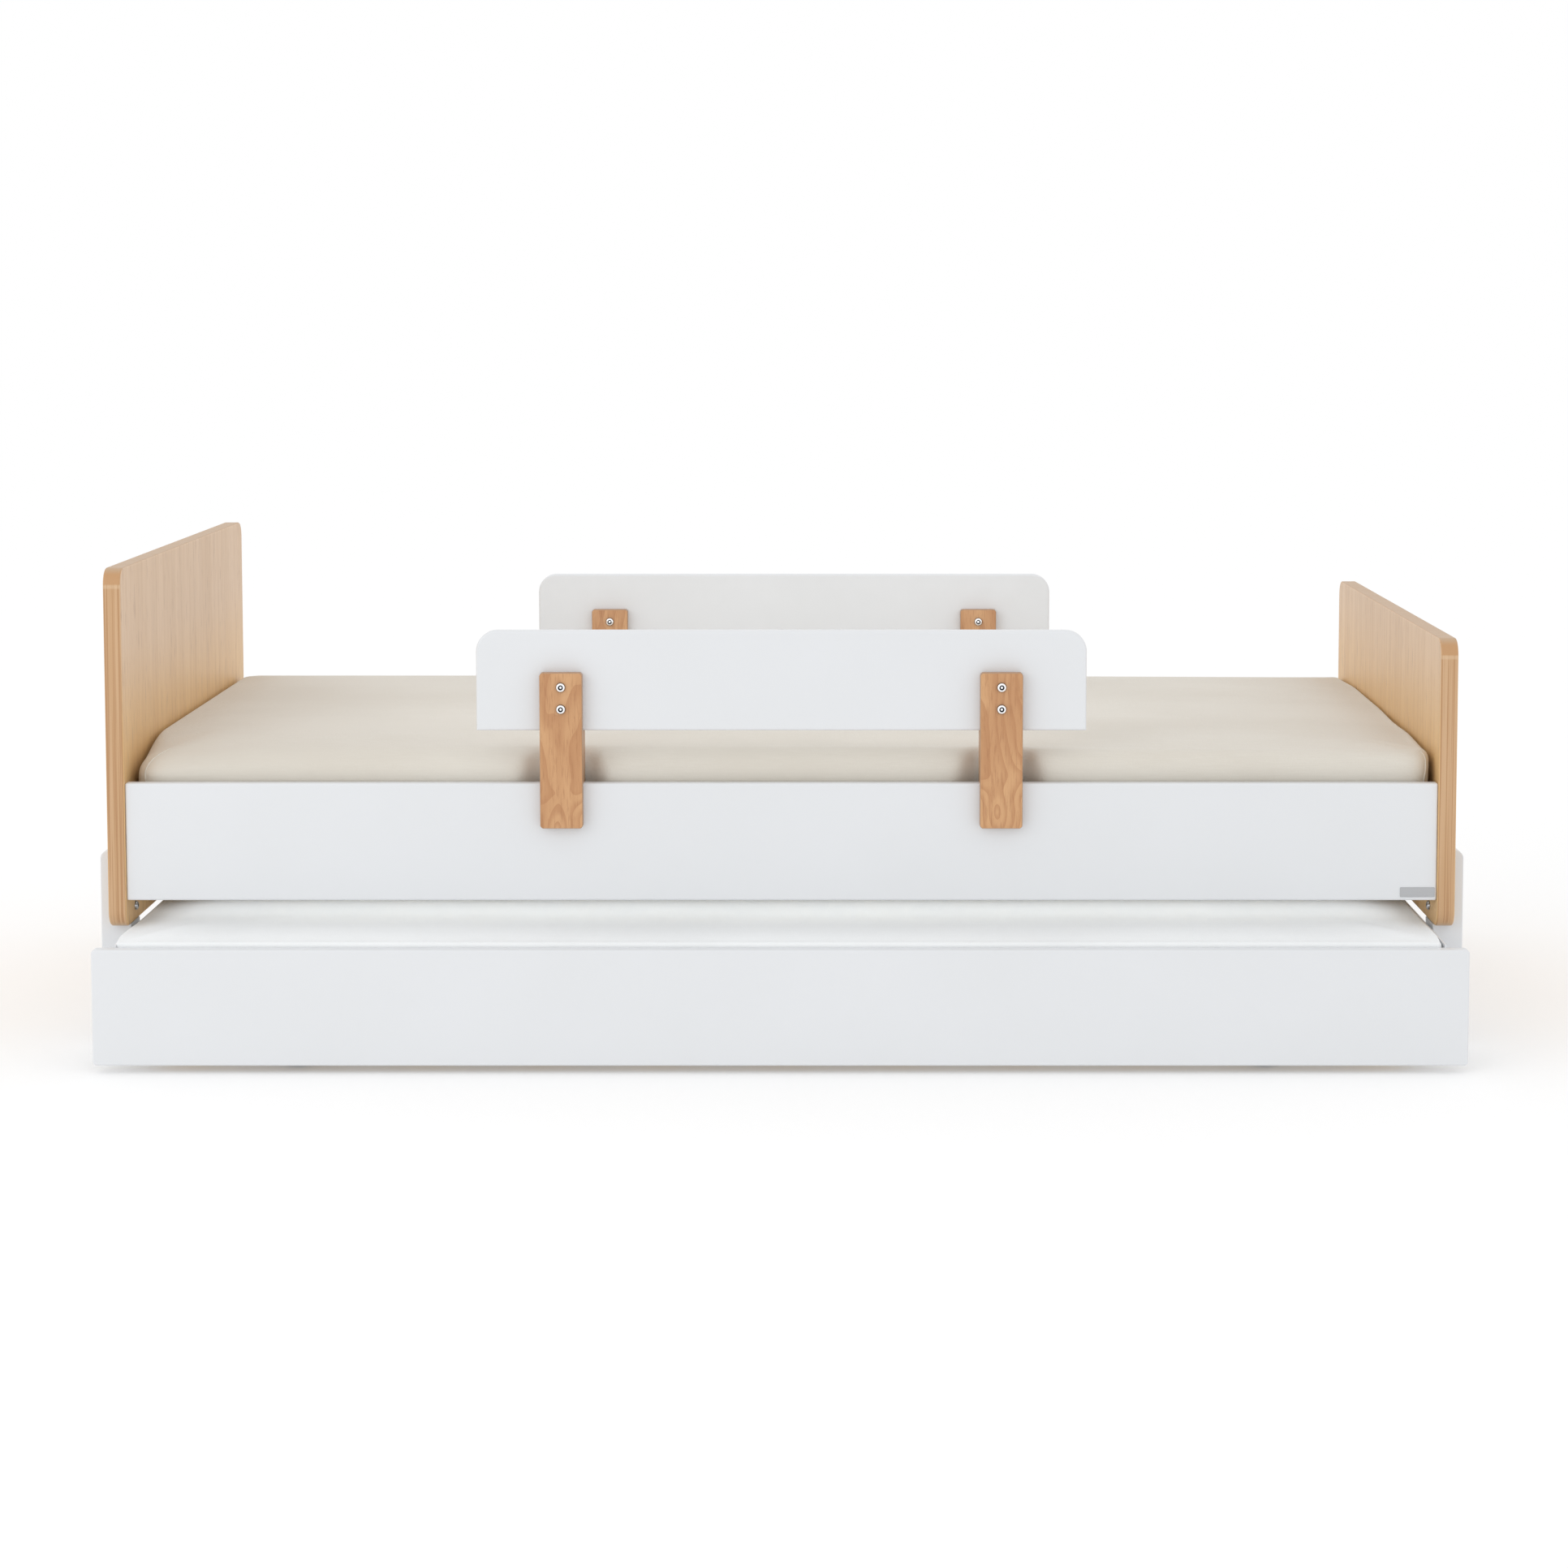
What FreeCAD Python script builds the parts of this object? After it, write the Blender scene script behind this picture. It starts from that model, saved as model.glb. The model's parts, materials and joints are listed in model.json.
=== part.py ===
import FreeCAD, Part
import math
import os
import re

import Sketcher

# A child's twin-size bed. Oak head and foot panels stand on four white legs that are let into
# their lower edges. White side rails carry the slats and the mattress, a lift-off guard rail
# straddles each side rail, and a low trundle on four rollers is drawn a little way out in front.
# Lengths are in millimetres. X runs from the head end to the foot end, Y from the front to the
# back and Z up. The origin is on the floor, under the middle of the whole bed's outer box.

DIMENSIONS = {
    # head and foot panels
    "half_inner": 960,
    "panel_thick": 26,
    "panel_depth": 1040,
    "panel_bottom": 189.5,
    "headboard_tall": 528.5,
    "footboard_tall": 425.5,
    "panel_corner": 25,
    "edge_round": 3,
    # side rails
    "rail_bottom": 230,
    "rail_tall": 173,
    "rail_thick": 21,
    "rail_inset": 5.5,
    "rail_bolt_low": 47,
    "rail_bolt_high": 127,
    "rail_bolt_long": 78.5,
    "rail_bore_long": 63,
    "barrel_setback": 45,
    "barrel_radius": 5,
    "barrel_long": 15,
    "barrel_bore_long": 18,
    # legs
    "leg_wide": 44,
    "leg_deep": 65,
    "leg_inset": 35,
    "leg_lap": 109.5,
    "leg_round": 12,
    "leg_bolt_low": 22.5,
    "leg_bolt_high": 77.5,
    "leg_bolt_long": 37,
    "leg_socket_deep": 12.5,
    "glide_tall": 4,
    "glide_radius": 15,
    "glide_pin_radius": 3,
    "glide_pin_long": 18,
    # slatted base
    "ledger_long": 1880,
    "ledger_tall": 25,
    "ledger_wide": 22,
    "ledger_screw_first": 840,
    "slat_top": 303,
    "slat_thick": 14,
    "slat_wide": 70,
    "slat_long": 986,
    "slat_first": 880,
    "strap_wide": 25,
    "strap_thick": 1.2,
    "strap_offset": 300,
    # bed mattress
    "mattress_long": 1905,
    "mattress_deep": 985,
    "mattress_thick": 150,
    "mattress_shift": 2.5,
    "mattress_corner": 40,
    "mattress_edge": 22,
    "notch_play": 2,
    # guard rails
    "guard_long": 890,
    "guard_tall": 146,
    "guard_bottom": 481,
    "guard_thick": 22,
    "guard_corner": 30,
    "rear_guard_shift": 6,
    "bracket_wide": 62,
    "bracket_thick": 18,
    "bracket_tall": 228,
    "bracket_bottom": 339,
    "bracket_offset": 320.5,
    "bracket_corner": 5,
    "bracket_edge": 1.5,
    "guard_bolt_drop": 21,
    "guard_bolt_gap": 32,
    "guard_bolt_long": 52,
    "sleeve_radius": 4.5,
    "sleeve_long": 15,
    # bolts and screws
    "bolt_radius": 3,
    "bolt_head_radius": 7,
    "bolt_head_tall": 4.5,
    "bolt_dome": 3.6,
    "bolt_hole": 3.5,
    "socket_radius": 2.9,
    "socket_deep": 2.6,
    "fit_gap": 0.1,
    "cut_past": 1,
    "screw_radius": 2,
    "screw_head": 4,
    "screw_head_tall": 1.8,
    "screw_long": 32,
    "short_screw_long": 12,
    # name plate
    "plate_long": 51,
    "plate_tall": 14.5,
    "plate_thick": 0.8,
    "plate_corner": 1.5,
    "plate_lift": 2,
    "plate_rim": 1.4,
    "plate_recess": 0.25,
    # trundle
    "trundle_out": 135,
    "face_long": 1974,
    "face_thick": 22,
    "face_bottom": 12,
    "face_tall": 168.5,
    "face_corner": 6,
    "tray_half": 957,
    "side_sheet": 2.5,
    "side_bottom": 53.5,
    "side_top": 184,
    "side_flange": 40,
    "tray_deep": 987,
    "back_thick": 18,
    "back_top": 150,
    "tray_ledger_long": 1800,
    "tray_ledger_wide": 18,
    "tray_ledger_tall": 22,
    "tray_screw_first": 840,
    "tray_slat_top": 56,
    "tray_slat_thick": 12,
    "tray_slat_long": 985,
    "tray_slat_first": 860,
    "tray_mattress_long": 1902,
    "tray_mattress_deep": 984,
    "tray_mattress_thick": 131,
    "tray_mattress_shift": -3,
    "tray_mattress_lift": 0.5,
    "tray_mattress_edge": 12,
    "corner_leg": 30,
    "corner_sheet": 2,
    "corner_bottom": 66,
    "corner_tall": 70,
    "corner_screw_in": 18,
    "corner_screw_pitch": 21,
    # rollers
    "wheel_offset": 700,
    "wheel_radius": 20,
    "wheel_wide": 18,
    "hub_radius": 15,
    "hub_wide": 22,
    "axle_radius": 3,
    "axle_long": 32,
    "axle_gap": 0.06,
    "fork_sheet": 2,
    "fork_inner": 24,
    "fork_reach": 36,
    "fork_bottom": 9,
    "fork_tall": 33,
    "fork_screw_drop": 9,
    "fork_screw_offset": 6,
    "wheel_setback": 26,
}

SLAT_COUNT = 13
TRAY_SLAT_COUNT = 11
LEDGER_SCREW_COUNT = 6
TRAY_SCREW_COUNT = 7
STEEL_SCREW_ROW = (-1, 0, 1)

ENDS = {"head": -1, "foot": 1}
SIDES = {"front": -1, "rear": 1}

# Formulas that several parts share.
GUARD_PROUD = "((guard_thick - rail_thick) / 2)"
BACK_REACH = f"(panel_depth - rail_inset + {GUARD_PROUD} + bracket_thick + bolt_head_tall)"
FRONT_REACH = "(face_thick + trundle_out - leg_inset)"
FRONT = f"(({FRONT_REACH} - {BACK_REACH}) / 2)"
MID_DEPTH = f"({FRONT} + panel_depth / 2)"
RAIL_MIDDLE = "(panel_depth / 2 - rail_inset - rail_thick / 2)"
LEG_MIDDLE = "(panel_depth / 2 - leg_inset - leg_deep / 2)"
HALF_OUTER = "(half_inner + panel_thick)"
SLAT_BOTTOM = "(slat_top - slat_thick)"
TRAY_FRONT = f"({FRONT} - {FRONT_REACH} + face_thick)"
TRAY_MIDDLE = f"({TRAY_FRONT} + tray_deep / 2)"
TRAY_SLAT_BOTTOM = "(tray_slat_top - tray_slat_thick)"
BRACKET_TOP = "(bracket_bottom + bracket_tall)"

AXIS = {"x": FreeCAD.Vector(1, 0, 0), "y": FreeCAD.Vector(0, 1, 0), "z": FreeCAD.Vector(0, 0, 1)}
SPAN = {"x": ("XMin", "XMax"), "y": ("YMin", "YMax"), "z": ("ZMin", "ZMax")}
NEARLY = 0.01

doc = FreeCAD.newDocument("twin_bed")
nodes = {}


# ---------------------------------------------------------------- sheet and formulas

def write_sheet():
    """Put each driving dimension in a cell of its own with its name as the alias."""
    sheet = doc.addObject("Spreadsheet::Sheet", "dims")
    for row, (alias, value) in enumerate(DIMENSIONS.items(), start=1):
        sheet.set(f"A{row}", alias)
        sheet.set(f"B{row}", str(value))
        sheet.setAlias(f"B{row}", alias)
    doc.recompute()


def formula(text):
    """Write a formula over dimension names as one over the sheet's cells."""
    return re.sub(r"[a-z][a-z_]+", lambda word: "dims." + word.group(), text)


def bind(thing, **properties):
    for name, text in properties.items():
        thing.setExpression(name, formula(text))


def place(thing, where, turn=None):
    """Put a thing at a point given as three formulas, after an optional turn."""
    if turn is not None:
        thing.Placement = FreeCAD.Placement(FreeCAD.Vector(), turn)
    for axis, text in zip("xyz", where):
        thing.setExpression(f"Placement.Base.{axis}", formula(text))


def turn_about(axis, degrees):
    return FreeCAD.Rotation(AXIS[axis], degrees)


def pointing(axis, sense=1):
    """The turn that points a fastener's shank, which runs up Z, along an axis."""
    return FreeCAD.Rotation(AXIS["z"], AXIS[axis] * sense)


def node(name, thing):
    thing.Label = name
    nodes[name] = thing


# ---------------------------------------------------------------- building blocks

def outline(body, plane_role, corners):
    """A closed sketch through corners given as formula pairs, bound to the sheet."""
    sketch = body.newObject("Sketcher::SketchObject", "outline")
    plane = next(item for item in body.Origin.OriginFeatures if item.Role == plane_role)
    sketch.AttachmentSupport = [(plane, "")]
    sketch.MapMode = "FlatFace"
    count = len(corners)
    ring = [2 * math.pi * number / count for number in range(count)]
    start = [FreeCAD.Vector(2 + math.cos(angle), 2 + math.sin(angle), 0) for angle in ring]
    for number in range(count):
        sketch.addGeometry(Part.LineSegment(start[number], start[(number + 1) % count]), False)
    for number in range(count):
        sketch.addConstraint(Sketcher.Constraint("Coincident", number, 2, (number + 1) % count, 1))
    for number, (across, up) in enumerate(corners):
        here = start[number]
        for kind, text, value in (("DistanceX", across, here.x), ("DistanceY", up, here.y)):
            index = sketch.addConstraint(Sketcher.Constraint(kind, -1, 1, number, 1, value))
            sketch.setExpression(f"Constraints[{index}]", formula(text))
    return sketch


def extruded(plane_role, corners, length):
    """A body padded from an outline that stands on one of its origin planes."""
    body = doc.addObject("PartDesign::Body", "body")
    pad = body.newObject("PartDesign::Pad", "pad")
    pad.Profile = outline(body, plane_role, corners)
    bind(pad, Length=length)
    doc.recompute()
    return body


def turned(corners):
    """A body turned about Z from its half section."""
    body = doc.addObject("PartDesign::Body", "body")
    revolution = body.newObject("PartDesign::Revolution", "revolution")
    sketch = outline(body, "XZ_Plane", corners)
    revolution.Profile = sketch
    revolution.ReferenceAxis = (sketch, ["V_Axis"])
    revolution.Angle = 360
    doc.recompute()
    return body


def block(size, where):
    """A box body: its size, and the middle of its bottom face, as formulas."""
    wide, deep, tall = size
    body = extruded("XY_Plane", [("0", "0"), (wide, "0"), (wide, deep), ("0", deep)], tall)
    place(body, (f"{where[0]} - ({wide}) / 2", f"{where[1]} - ({deep}) / 2", where[2]))
    doc.recompute()
    return body


def runs_along(axis, above=None):
    """Picks straight edges along an axis, and with above only those at the body's top."""
    def pick(edge, around):
        if not isinstance(edge.Curve, Part.Line):
            return False
        along = edge.Curve.Direction.cross(AXIS[axis]).Length < NEARLY
        return along and (above is None or (edge.BoundBox.ZMin > around.Center.z) == above)
    return pick


def rims_across(axis):
    """Picks the edges around the two outer faces that an axis passes through."""
    low, high = SPAN[axis]

    def pick(edge, around):
        near, far = getattr(edge.BoundBox, low), getattr(edge.BoundBox, high)
        at_low = abs(far - getattr(around, low)) < NEARLY
        at_high = abs(near - getattr(around, high)) < NEARLY
        return at_low or at_high
    return pick


def every_edge(edge, around):
    return True


def fillet(body, pick, radius):
    """Round the picked edges of a body."""
    base = body.Tip
    around = base.Shape.BoundBox
    picked = [f"Edge{number}" for number, edge in enumerate(base.Shape.Edges, 1) if pick(edge, around)]
    rounding = body.newObject("PartDesign::Fillet", "rounding")
    rounding.Base = (base, picked)
    bind(rounding, Radius=radius)
    doc.recompute()
    return body


def drill(radius, length, where, turn=None):
    """A cylinder that starts at a point and runs the way it is turned."""
    cylinder = doc.addObject("Part::Cylinder", "drill")
    bind(cylinder, Radius=radius, Height=length)
    place(cylinder, where, turn)
    return cylinder


def group(things):
    compound = doc.addObject("Part::Compound", "group")
    compound.Links = things
    return compound


def cut_away(base, tools):
    """The base with every tool taken out of it."""
    result = doc.addObject("Part::Cut", "cut")
    result.Base = base
    result.Tool = group(tools)
    return result


def copy_of(master, where, turn=None):
    link = doc.addObject("App::Link", "copy")
    link.LinkedObject = master
    place(link, where, turn)
    return link


def grid(first, count):
    """Evenly spaced offsets from -first to +first, as formulas."""
    return [f"({first} * {2 * number / (count - 1) - 1})" for number in range(count)]


# ---------------------------------------------------------------- fasteners

def domed_bolt(length):
    """A furniture bolt: the top of its domed head is at Z = 0 and its shank runs up Z from the head."""
    bolt = turned([
        ("0", "0"),
        ("bolt_head_radius", "0"),
        ("bolt_head_radius", "bolt_head_tall"),
        ("bolt_radius", "bolt_head_tall"),
        ("bolt_radius", f"bolt_head_tall + {length}"),
        ("0", f"bolt_head_tall + {length}"),
    ])
    return shape_the_head(bolt)


def sleeve_nut():
    """A sleeve nut: a domed head like the bolt's, with a threaded sleeve in place of the shank."""
    bore = "bolt_radius + fit_gap"
    nut = turned([
        ("0", "0"),
        ("bolt_head_radius", "0"),
        ("bolt_head_radius", "bolt_head_tall"),
        ("sleeve_radius", "bolt_head_tall"),
        ("sleeve_radius", "bolt_head_tall + sleeve_long"),
        (bore, "bolt_head_tall + sleeve_long"),
        (bore, "bolt_head_tall"),
        ("0", "bolt_head_tall"),
    ])
    return shape_the_head(nut)


def shape_the_head(fastener):
    """Dome the rim of a head at Z = 0 and sink a hexagon socket into it."""
    def head_rim(edge, around):
        return edge.BoundBox.ZMax < around.ZMin + NEARLY and edge.BoundBox.XLength > NEARLY

    socket = doc.addObject("Part::Prism", "socket")
    socket.Polygon = 6
    bind(socket, Circumradius="socket_radius", Height="socket_deep + cut_past")
    place(socket, ("0", "0", "-cut_past"))
    return cut_away(fillet(fastener, head_rim, "bolt_dome"), [socket])


def wood_screw(length):
    """A pan-head screw: the top of its head is at Z = 0 and its shank runs up Z from the head."""
    return turned([
        ("0", "0"),
        ("screw_head", "0"),
        ("screw_head", "screw_head_tall"),
        ("screw_radius", "screw_head_tall"),
        ("screw_radius", f"{length}"),
        ("0", f"{length} + screw_radius"),
    ])


# ---------------------------------------------------------------- bed frame

def end_panel(name, end, height):
    """An oak end panel, drilled for the leg bolts, and counterbored for the side rail bolts."""
    middle = f"{end} * (half_inner + panel_thick / 2)"
    blank = block(("panel_thick", "panel_depth", height), (middle, MID_DEPTH, "panel_bottom"))
    fillet(blank, runs_along("x"), "panel_corner")
    fillet(blank, rims_across("x"), "edge_round")
    holes = []
    for side in SIDES.values():
        for where in leg_bolt_places(side) + rail_bolt_places(side):
            start = (f"{end} * (half_inner - cut_past)", where[0], where[1])
            holes.append(drill("bolt_hole", "panel_thick + 2 * cut_past", start, pointing("x", end)))
        for across, up in rail_bolt_places(side):
            start = (f"{end} * ({HALF_OUTER} + cut_past)", across, up)
            holes.append(drill("bolt_head_radius + fit_gap", "bolt_head_tall + cut_past",
                               start, pointing("x", -end)))
    node(name, cut_away(blank, holes))


def leg_bolt_places(side):
    """Y and Z of the two bolts that hold a panel to the leg at one of its sides."""
    across = f"{MID_DEPTH} + {side} * {LEG_MIDDLE}"
    return [(across, f"panel_bottom + {height}") for height in ("leg_bolt_low", "leg_bolt_high")]


def rail_bolt_places(side):
    """Y and Z of the two bolts that hold a panel to the side rail at one of its sides."""
    across = f"{MID_DEPTH} + {side} * {RAIL_MIDDLE}"
    return [(across, f"rail_bottom + {height}") for height in ("rail_bolt_low", "rail_bolt_high")]


def leg(name, end, side):
    """A leg whose outer half laps up the outside of the panel that stands on its shoulder."""
    blank = extruded("XZ_Plane", [
        ("0", "glide_tall"),
        ("leg_wide", "glide_tall"),
        ("leg_wide", "panel_bottom + leg_lap"),
        ("panel_thick", "panel_bottom + leg_lap"),
        ("panel_thick", "panel_bottom"),
        ("0", "panel_bottom"),
    ], "leg_deep")

    def outer_top(edge, around):
        box = edge.BoundBox
        return box.ZMin > around.ZMax - NEARLY and box.XMin > around.XMax - NEARLY

    fillet(blank, outer_top, "leg_round")
    fillet(blank, rims_across("y"), "edge_round / 2")
    middle = f"{MID_DEPTH} + {side} * {LEG_MIDDLE}"
    place(blank, (f"{end} * half_inner", f"{middle} + {end} * leg_deep / 2", "0"),
          turn_about("z", 0 if end > 0 else 180))
    holes = []
    for across, height in leg_bolt_places(side):
        start = (f"{end} * ({HALF_OUTER} - cut_past)", across, height)
        holes.append(drill("bolt_radius + fit_gap", "leg_socket_deep + cut_past", start, pointing("x", end)))
    pin_start = (f"{end} * (half_inner + leg_wide / 2)", middle, "glide_tall - cut_past")
    holes.append(drill("glide_pin_radius + fit_gap", "glide_pin_long + 2 * cut_past", pin_start))
    node(name, cut_away(blank, holes))


def leg_hardware():
    glide = turned([
        ("0", "0"),
        ("glide_radius", "0"),
        ("glide_radius", "glide_tall"),
        ("glide_pin_radius", "glide_tall"),
        ("glide_pin_radius", "glide_tall + glide_pin_long"),
        ("0", "glide_tall + glide_pin_long"),
    ])
    bolt = domed_bolt("leg_bolt_long")
    glides = []
    bolts = []
    for end in ENDS.values():
        for side in SIDES.values():
            middle = f"{MID_DEPTH} + {side} * {LEG_MIDDLE}"
            glides.append(copy_of(glide, (f"{end} * (half_inner + leg_wide / 2)", middle, "0")))
            for across, height in leg_bolt_places(side):
                seat = (f"{end} * (half_inner - bolt_head_tall)", across, height)
                bolts.append(copy_of(bolt, seat, pointing("x", end)))
    node("leg_glides", group(glides))
    node("leg_bolts", group(bolts))


def side_rail(name, side):
    """A side rail with bolt holes in its ends and sockets for the barrel nuts in its inner face."""
    middle = f"{MID_DEPTH} + {side} * {RAIL_MIDDLE}"
    blank = block(("2 * half_inner", "rail_thick", "rail_tall"), ("0", middle, "rail_bottom"))
    fillet(blank, every_edge, "edge_round")
    holes = []
    for end in ENDS.values():
        for across, height in rail_bolt_places(side):
            end_start = (f"{end} * (half_inner + cut_past)", across, height)
            holes.append(drill("bolt_hole", "rail_bore_long + cut_past", end_start, pointing("x", -end)))
            nut_x = f"{end} * (half_inner - barrel_setback)"
            nut_start = (nut_x, f"{middle} - {side} * (rail_thick / 2 + cut_past)", height)
            holes.append(drill("barrel_radius + fit_gap", "barrel_bore_long + cut_past",
                               nut_start, pointing("y", side)))
    node(name, cut_away(blank, holes))


def rail_hardware():
    """The bolts through the end panels and the cross-drilled barrel nuts in the rails."""
    bolt = domed_bolt("rail_bolt_long")
    barrel_blank = turned([
        ("0", "0"),
        ("barrel_radius", "0"),
        ("barrel_radius", "barrel_long"),
        ("0", "barrel_long"),
    ])
    cross = drill("bolt_radius + fit_gap", "2 * (barrel_radius + cut_past)",
                  ("-(barrel_radius + cut_past)", "0", "barrel_long / 2"), pointing("x"))
    barrel = cut_away(barrel_blank, [cross])
    bolts = []
    barrels = []
    for side in SIDES.values():
        for end in ENDS.values():
            for across, height in rail_bolt_places(side):
                seat = (f"{end} * {HALF_OUTER}", across, height)
                bolts.append(copy_of(bolt, seat, pointing("x", -end)))
                nut_x = f"{end} * (half_inner - barrel_setback)"
                start = (nut_x, f"{across} - {side} * barrel_long / 2", height)
                barrels.append(copy_of(barrel, start, pointing("y", side)))
    node("rail_bolts", group(bolts))
    node("rail_barrel_nuts", group(barrels))


def slatted_base():
    """A ledger inside each rail, the slats across them and two webbing straps under the slats."""
    ledger_middle = "(panel_depth / 2 - rail_inset - rail_thick - ledger_wide / 2)"
    screw = wood_screw("screw_long")
    screws = []
    for side_name, side in SIDES.items():
        middle = f"{MID_DEPTH} + {side} * {ledger_middle}"
        bottom = f"{SLAT_BOTTOM} - ledger_tall"
        ledger = block(("ledger_long", "ledger_wide", "ledger_tall"), ("0", middle, bottom))
        node(f"{side_name}_slat_ledger", ledger)
        inner_face = f"{middle} - {side} * (ledger_wide / 2 + screw_head_tall)"
        for across in grid("ledger_screw_first", LEDGER_SCREW_COUNT):
            seat = (across, inner_face, f"{bottom} + ledger_tall / 2")
            screws.append(copy_of(screw, seat, pointing("y", side)))
    node("ledger_screws", group(screws))

    slat_blank = block(("slat_wide", "slat_long", "slat_thick"), ("0", "0", "0"))
    slat = fillet(slat_blank, runs_along("y"), "edge_round")
    slats = [
        copy_of(slat, (f"{across} - slat_wide / 2", f"{MID_DEPTH} - slat_long / 2", SLAT_BOTTOM))
        for across in grid("slat_first", SLAT_COUNT)
    ]
    node("bed_slats", group(slats))
    strap_long = "2 * slat_first + slat_wide"
    straps = [
        block((strap_long, "strap_wide", "strap_thick"),
              ("0", f"{MID_DEPTH} + {side} * strap_offset", f"{SLAT_BOTTOM} - strap_thick"))
        for side in SIDES.values()
    ]
    node("slat_straps", group(straps))


def bed_mattress():
    """The mattress, notched at its sides where the guard rails' inner brackets press into it."""
    blank = block(("mattress_long", "mattress_deep", "mattress_thick"),
                  ("mattress_shift", MID_DEPTH, "slat_top"))
    fillet(blank, runs_along("z"), "mattress_corner")
    fillet(blank, rims_across("z"), "mattress_edge")
    notches = []
    notch_deep = "2 * (bracket_thick + notch_play)"
    notch_tall = "(slat_top + mattress_thick - bracket_bottom) + 2 * notch_play"
    for side in SIDES.values():
        for end in ENDS.values():
            middle = f"{guard_shift(side)} + {end} * bracket_offset"
            edge = f"{MID_DEPTH} + {side} * (panel_depth / 2 - rail_inset - rail_thick)"
            notches.append(block(("bracket_wide + 2 * notch_play", notch_deep, notch_tall),
                                 (middle, edge, "bracket_bottom - notch_play")))
    node("bed_mattress", cut_away(blank, notches))


def name_plate():
    """A small blank metal plate with a raised rim, low down on the front rail at the foot end."""
    across = "half_inner - edge_round - plate_long / 2"
    face = f"{FRONT} + rail_inset"
    bottom = "rail_bottom + edge_round + plate_lift"
    blank = block(("plate_long", "plate_thick", "plate_tall"), (across, f"{face} - plate_thick / 2", bottom))
    fillet(blank, runs_along("y"), "plate_corner")
    recess = block(("plate_long - 2 * plate_rim", "2 * plate_recess", "plate_tall - 2 * plate_rim"),
                   (across, f"{face} - plate_thick", f"{bottom} + plate_rim"))
    node("name_plate", cut_away(blank, [recess]))


# ---------------------------------------------------------------- guard rails

def guard_shift(side):
    return "0" if side < 0 else "rear_guard_shift"


def guard_rail(side_name, side):
    """A board above the side rail, held by two saddles that straddle the rail."""
    middle = f"{MID_DEPTH} + {side} * (panel_depth / 2 - rail_inset - rail_thick / 2)"
    shift = guard_shift(side)
    outward = pointing("y", side)
    inward = pointing("y", -side)

    blank = block(("guard_long", "guard_thick", "guard_tall"), (shift, middle, "guard_bottom"))
    fillet(blank, runs_along("y", above=True), "guard_corner")
    fillet(blank, rims_across("y"), "edge_round")

    bolt_heights = [f"{BRACKET_TOP} - guard_bolt_drop", f"{BRACKET_TOP} - guard_bolt_drop - guard_bolt_gap"]
    bolt = domed_bolt("guard_bolt_long")
    nut = sleeve_nut()
    bolts = []
    nuts = []
    board_holes = []
    for end_name, end in ENDS.items():
        across = f"{shift} + {end} * bracket_offset"
        holes = {"outer": [], "inner": []}
        for height in bolt_heights:
            outer_face = f"{middle} + {side} * (guard_thick / 2 + bracket_thick)"
            inner_face = f"{middle} - {side} * (guard_thick / 2 + bracket_thick)"
            outer_seat = (across, f"{outer_face} + {side} * bolt_head_tall", height)
            inner_seat = (across, f"{inner_face} - {side} * bolt_head_tall", height)
            bolts.append(copy_of(bolt, outer_seat, inward))
            nuts.append(copy_of(nut, inner_seat, outward))
            board_start = (across, f"{middle} + {side} * (guard_thick / 2 + cut_past)", height)
            outer_start = (across, f"{outer_face} + {side} * cut_past", height)
            inner_start = (across, f"{inner_face} - {side} * cut_past", height)
            through = "bracket_thick + 2 * cut_past"
            board_holes.append(drill("bolt_hole", "guard_thick + 2 * cut_past", board_start, inward))
            holes["outer"].append(drill("bolt_hole", through, outer_start, inward))
            holes["inner"].append(drill("sleeve_radius + fit_gap", through, inner_start, outward))
        for layer, sense in (("outer", side), ("inner", -side)):
            where = (across, f"{middle} + {sense} * (guard_thick + bracket_thick) / 2", "bracket_bottom")
            bracket = block(("bracket_wide", "bracket_thick", "bracket_tall"), where)
            fillet(bracket, runs_along("y"), "bracket_corner")
            fillet(bracket, rims_across("y"), "bracket_edge")
            node(f"{side_name}_guard_{layer}_bracket_{end_name}", cut_away(bracket, holes[layer]))

    spacer_tall = "guard_bottom - rail_bottom - rail_tall"
    spacers = [
        block(("bracket_wide", "guard_thick", spacer_tall),
              (f"{shift} + {end} * bracket_offset", middle, "rail_bottom + rail_tall"))
        for end in ENDS.values()
    ]
    node(f"{side_name}_guard_board", cut_away(blank, board_holes))
    node(f"{side_name}_guard_spacers", group(spacers))
    node(f"{side_name}_guard_bolts", group(bolts))
    node(f"{side_name}_guard_sleeve_nuts", group(nuts))


# ---------------------------------------------------------------- trundle

def trundle_boards():
    """The white front board, the lower back board and the ledgers that carry the slats."""
    face = block(("face_long", "face_thick", "face_tall"),
                 ("0", f"{TRAY_FRONT} - face_thick / 2", "face_bottom"))
    fillet(face, runs_along("y"), "face_corner")
    fillet(face, rims_across("y"), "edge_round")
    node("trundle_front_board", face)
    back_middle = f"{TRAY_FRONT} + tray_deep + back_thick / 2"
    back = block(("2 * tray_half", "back_thick", "back_top - face_bottom"),
                 ("0", back_middle, "face_bottom"))
    fillet(back, every_edge, "edge_round")
    node("trundle_back_board", back)
    for side_name, side in SIDES.items():
        middle = f"{TRAY_MIDDLE} + {side} * (tray_deep - tray_ledger_wide) / 2"
        ledger = block(("tray_ledger_long", "tray_ledger_wide", "tray_ledger_tall"),
                       ("0", middle, f"{TRAY_SLAT_BOTTOM} - tray_ledger_tall"))
        node(f"trundle_{side_name}_ledger", ledger)


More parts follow.
